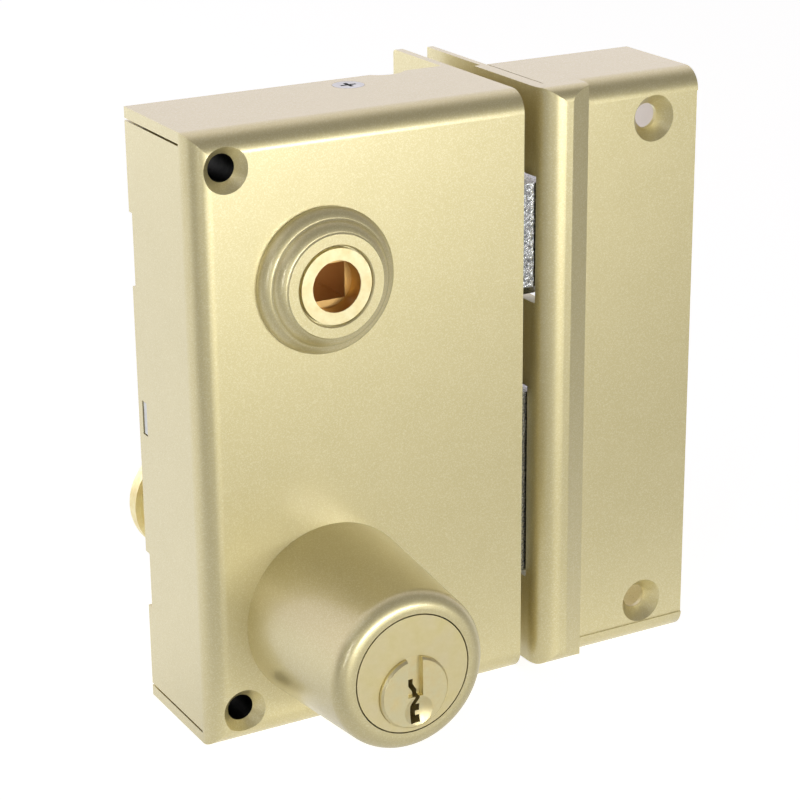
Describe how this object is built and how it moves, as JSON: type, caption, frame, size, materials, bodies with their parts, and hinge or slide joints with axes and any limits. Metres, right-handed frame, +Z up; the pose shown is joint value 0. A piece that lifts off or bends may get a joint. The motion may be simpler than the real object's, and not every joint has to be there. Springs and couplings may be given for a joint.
{
  "type": "rim night latch",
  "caption": "Surface-mounted door lock with a spring latch, a key-driven dead bolt, two key cylinders and a separate folded strike.",
  "frame": {"origin": "on the door face (the plane that the case's rear edges lie in), on the axis of the spindle", "axes": "+X towards the strike, -Y out of the door into the room along the spindle, +Z up"},
  "size_m": [0.127, 0.1217, 0.14],
  "materials": {
    "satin_gold_paint": "satin metallic champagne-gold paint",
    "zinc_plated_steel": "zinc plated",
    "satin_brass": "satin brass",
    "satin_champagne": "satin champagne finish on brass",
    "bright_steel": "bright turned steel",
    "zinc_screw": "zinc plated screws",
    "spring_steel": "spring steel wire"
  },
  "bodies": {
    "case": {"case_shell": "satin_gold_paint", "faceplate": "satin_gold_paint", "back_plate": "zinc_plated_steel", "case_screws": "zinc_screw", "fixing_sleeves": "zinc_plated_steel", "hub_boss": "satin_gold_paint", "spring_stop_post": "bright_steel", "bolt_guide_post": "bright_steel", "cylinder_sleeve": "satin_gold_paint", "front_cylinder": "satin_champagne", "rear_cylinder": "satin_brass", "cylinder_screws": "zinc_screw", "latch_spring": "spring_steel"},
    "hub": {"spindle_hub": "satin_brass"},
    "latch": {"latch_bolt": "zinc_plated_steel"},
    "deadbolt": {"dead_bolt": "zinc_plated_steel"},
    "front_key_drive": {"front_plug": "satin_brass", "clutch_blade": "bright_steel", "drive_pinion": "bright_steel"},
    "rear_key_plug": {"rear_plug": "satin_brass"},
    "strike": {"strike_cover": "satin_gold_paint", "strike_plate": "satin_gold_paint"}
  },
  "joints": [
    {"name": "latch_slide", "type": "slide", "parent": "case", "child": "latch", "axis": [-1, 0, 0], "range_m": [0, 0.012], "stiffness_N_per_m": 400, "springref_m": -0.006, "deforming": ["latch_spring"]},
    {"name": "hub_turn", "type": "hinge", "parent": "case", "child": "hub", "pos_m": [0, 0, 0], "axis": [0, -1, 0], "range_deg": [0, 40.1]},
    {"name": "dead_bolt_slide", "type": "slide", "parent": "case", "child": "deadbolt", "axis": [-1, 0, 0], "range_m": [0, 0.02011]},
    {"name": "front_key_turn", "type": "hinge", "parent": "case", "child": "front_key_drive", "pos_m": [0, 0, -0.0816], "axis": [0, -1, 0], "range_deg": [0, 360]},
    {"name": "rear_key_turn", "type": "hinge", "parent": "case", "child": "rear_key_plug", "pos_m": [0, 0, -0.0816], "axis": [0, -1, 0], "range_deg": [0, 360]},
    {"name": "strike_off", "type": "slide", "parent": "case", "child": "strike", "axis": [1, 0, 0], "range_m": [0, 0.04]}
  ],
  "couplings": [
    {"joint": "hub_turn", "follows": "latch_slide", "rad_per_m": 58.326},
    {"joint": "front_key_turn", "follows": "dead_bolt_slide", "rad_per_m": 312.5}
  ]
}
